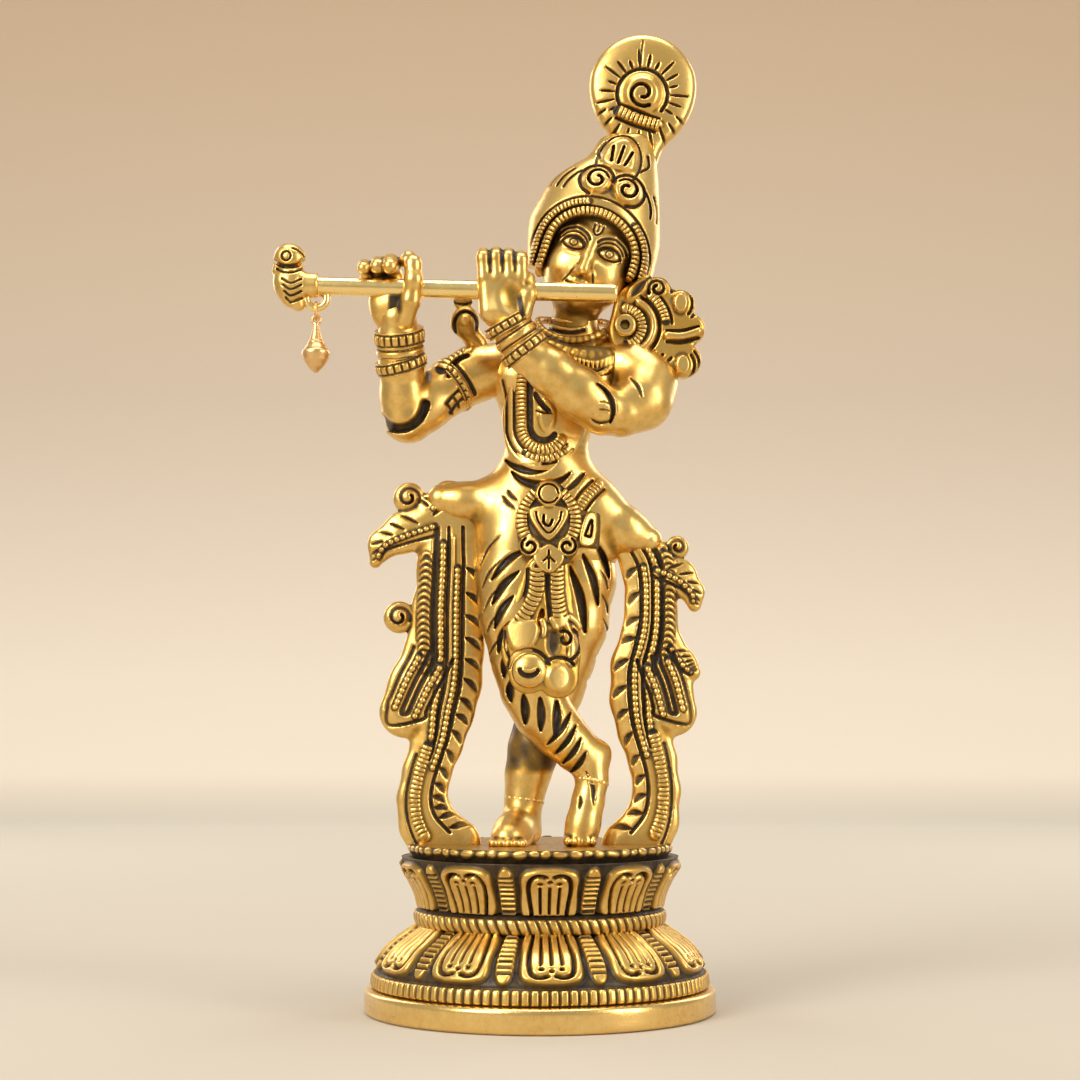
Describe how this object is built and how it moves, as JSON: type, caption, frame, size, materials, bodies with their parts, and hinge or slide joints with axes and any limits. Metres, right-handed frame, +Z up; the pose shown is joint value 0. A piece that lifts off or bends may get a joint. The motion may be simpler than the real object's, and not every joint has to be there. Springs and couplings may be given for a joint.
{
  "type": "hindu deity statue",
  "caption": "Antiqued cast brass statue of a standing flute player with crossed legs, side sashes and a peacock-plumed crown, on a round lotus pedestal with a hanging flute pendant.",
  "frame": {"origin": "centre of the pedestal's resting face, on the surface that the statue stands on", "axes": "+Z up; -Y is the side that the figure faces; +X towards the figure's own left hand side"},
  "size_m": [0.1456, 0.116, 0.33],
  "materials": {
    "antique_brass": "cast brass, bright high spots with dark antique patina in the recesses",
    "patinated_brass": "cast brass with mostly dark antique patina",
    "polished_brass": "polished brass with light tarnish",
    "pendant_brass": "turned brass, lightly tarnished",
    "fastener_brass": "plain machined brass"
  },
  "bodies": {
    "statue": {"bead_band": "antique_brass", "belt_buckle": "antique_brass", "bird_finial": "antique_brass", "crossed_anklet": "patinated_brass", "crossed_foot": "antique_brass", "crossed_leg": "antique_brass", "crown": "antique_brass", "deck_plate": "antique_brass", "earring": "antique_brass", "flute": "polished_brass", "foot_nuts": "fastener_brass", "foot_ring": "polished_brass", "foot_studs": "fastener_brass", "foot_washers": "fastener_brass", "front_apron": "antique_brass", "garland": "antique_brass", "hanger_eye": "polished_brass", "head": "antique_brass", "hip_belt": "patinated_brass", "knee_disc": "antique_brass", "left_bracelets": "antique_brass", "left_forearm": "antique_brass", "left_hand": "antique_brass", "left_sash": "antique_brass", "left_sash_knot": "antique_brass", "left_upper_arm": "antique_brass", "lower_lotus": "antique_brass", "necklace": "patinated_brass", "peacock_plume": "antique_brass", "right_armlet": "antique_brass", "right_bracelets": "antique_brass", "right_forearm": "antique_brass", "right_hand": "antique_brass", "right_sash": "antique_brass", "right_sash_knot": "antique_brass", "right_upper_arm": "antique_brass", "rope_ring": "antique_brass", "shoulder_curl": "antique_brass", "shoulder_fan": "antique_brass", "standing_anklet": "patinated_brass", "standing_foot": "antique_brass", "standing_leg": "antique_brass", "torso": "antique_brass", "upper_lotus": "antique_brass"},
    "pendant_link": {"pendant_link": "pendant_brass"},
    "pendant_drop": {"pendant_stem": "pendant_brass", "pendant_drop": "pendant_brass"}
  },
  "joints": [
    {"name": "link_swing", "type": "hinge", "parent": "statue", "child": "pendant_link", "pos_m": [-0.0736, -0.024, 0.2306], "axis": [1, 0, 0], "range_deg": [-60, 60]},
    {"name": "drop_swing", "type": "hinge", "parent": "pendant_link", "child": "pendant_drop", "pos_m": [-0.0736, -0.024, 0.22695], "axis": [0, 1, 0], "range_deg": [-55, 60]}
  ]
}
